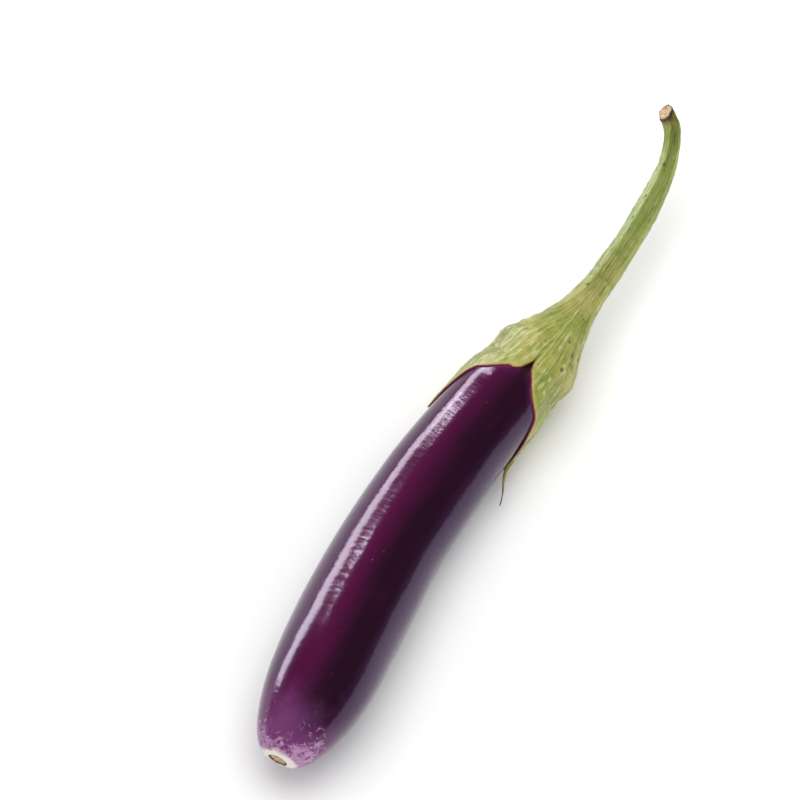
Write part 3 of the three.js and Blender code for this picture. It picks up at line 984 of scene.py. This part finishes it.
TABLE_RADIUS = 2.5
TABLE_SEGMENTS = 96
TABLE_GREYS = (0.88, 0.88, 0.88), (0.91, 0.91, 0.91)
bm = bmesh.new()
bmesh.ops.create_circle(bm, cap_ends=True, radius=TABLE_RADIUS, segments=TABLE_SEGMENTS)
mesh = bpy.data.meshes.new("table_top")
bm.to_mesh(mesh)
bm.free()
table = bpy.data.objects.new("table_top", mesh)
bpy.context.scene.collection.objects.link(table)
paper = Finish("pale table")
grain = paper.noise(paper.node("TexCoord", output=3), 40, 3)
paper.set(Base_Color=paper.mix(grain, *TABLE_GREYS), Roughness=0.9, Specular_IOR_Level=0)
mesh.materials.append(paper.material)

# ------------------------------------------------------------------------ light and camera
# Plain soft studio light: a broad overhead panel that shows in no reflection, and a low and a
# tall panel that show only in reflections. The long lens looks down from the blossom end.

scene = bpy.context.scene
scene.view_settings.view_transform = "Standard"
middle = (cad_box[0] + cad_box[1]) / 2
middle.z = 0
PANEL_DISTANCE = 3.0


def soft_panel(name, azimuth, elevation, size, power, tilt=0):
    """A soft panel that faces the eggplant, from a compass direction where +X is 0 degrees."""
    a, e = math.radians(azimuth), math.radians(elevation)
    towards = Vector((math.cos(a) * math.cos(e), math.sin(a) * math.cos(e), math.sin(e)))
    light = bpy.data.lights.new(name, "AREA")
    light.shape = "RECTANGLE"
    light.size, light.size_y = size
    light.energy = power
    lamp = bpy.data.objects.new(name, light)
    lamp.location = middle + towards * PANEL_DISTANCE
    lamp.rotation_mode = "QUATERNION"
    roll = Quaternion((0, 0, 1), math.radians(tilt))
    lamp.rotation_quaternion = towards.to_track_quat("Z", "Y") @ roll
    lamp.visible_camera = False
    scene.collection.objects.link(lamp)
    return lamp


soft_panel("overhead panel", 20, 76, (2.8, 2.8), 56).visible_glossy = False
soft_panel("low panel", 77, 12, (2.0, 0.85), 66, tilt=-14).visible_diffuse = False
soft_panel("tall panel", 54.5, 28, (0.2, 1.5), 26, tilt=16).visible_diffuse = False

# The studio's walls are pale to the camera and to dull surfaces, and dark in reflections.
REFLECTED_TONE = (0.05, 0.05, 0.055, 1)
DIFFUSE_TONE = 0.8
CAMERA_TONE = 1.0
world = bpy.data.worlds.new("studio")
scene.world = world
world.use_nodes = True
world.cycles.sampling_method = "NONE"
walls = world.node_tree
paths = walls.nodes.new("ShaderNodeLightPath")
seen_as = REFLECTED_TONE
for ray, tone in (("Is Diffuse Ray", DIFFUSE_TONE), ("Is Camera Ray", CAMERA_TONE)):
    mix = walls.nodes.new("ShaderNodeMix")
    mix.data_type = "RGBA"
    walls.links.new(paths.outputs[ray], mix.inputs[0])
    if isinstance(seen_as, tuple):
        mix.inputs[6].default_value = seen_as
    else:
        walls.links.new(seen_as, mix.inputs[6])
    mix.inputs[7].default_value = (tone, tone, tone, 1)
    seen_as = mix.outputs[2]
walls.links.new(seen_as, walls.nodes["Background"].inputs[0])

CAMERA_AZIMUTH = math.radians(-60)
CAMERA_ELEVATION = math.radians(64)
CAMERA_DISTANCE = 8.0
FIELD_WIDTH = 0.3024
SENSOR_WIDTH = 36
AIM_OFFSET = Vector((0.0093, 0.0355, 0))
AIM_RISE = 0.036
back = Vector((
    math.sin(CAMERA_AZIMUTH) * math.cos(CAMERA_ELEVATION),
    -math.cos(CAMERA_AZIMUTH) * math.cos(CAMERA_ELEVATION),
    math.sin(CAMERA_ELEVATION),
))
lens = bpy.data.cameras.new("camera")
lens.sensor_width = SENSOR_WIDTH
lens.lens = SENSOR_WIDTH * CAMERA_DISTANCE / FIELD_WIDTH
camera = bpy.data.objects.new("camera", lens)
camera.location = middle + AIM_OFFSET + back * (CAMERA_DISTANCE + AIM_RISE)
camera.rotation_mode = "QUATERNION"
camera.rotation_quaternion = back.to_track_quat("Z", "Y")
scene.collection.objects.link(camera)
scene.camera = camera
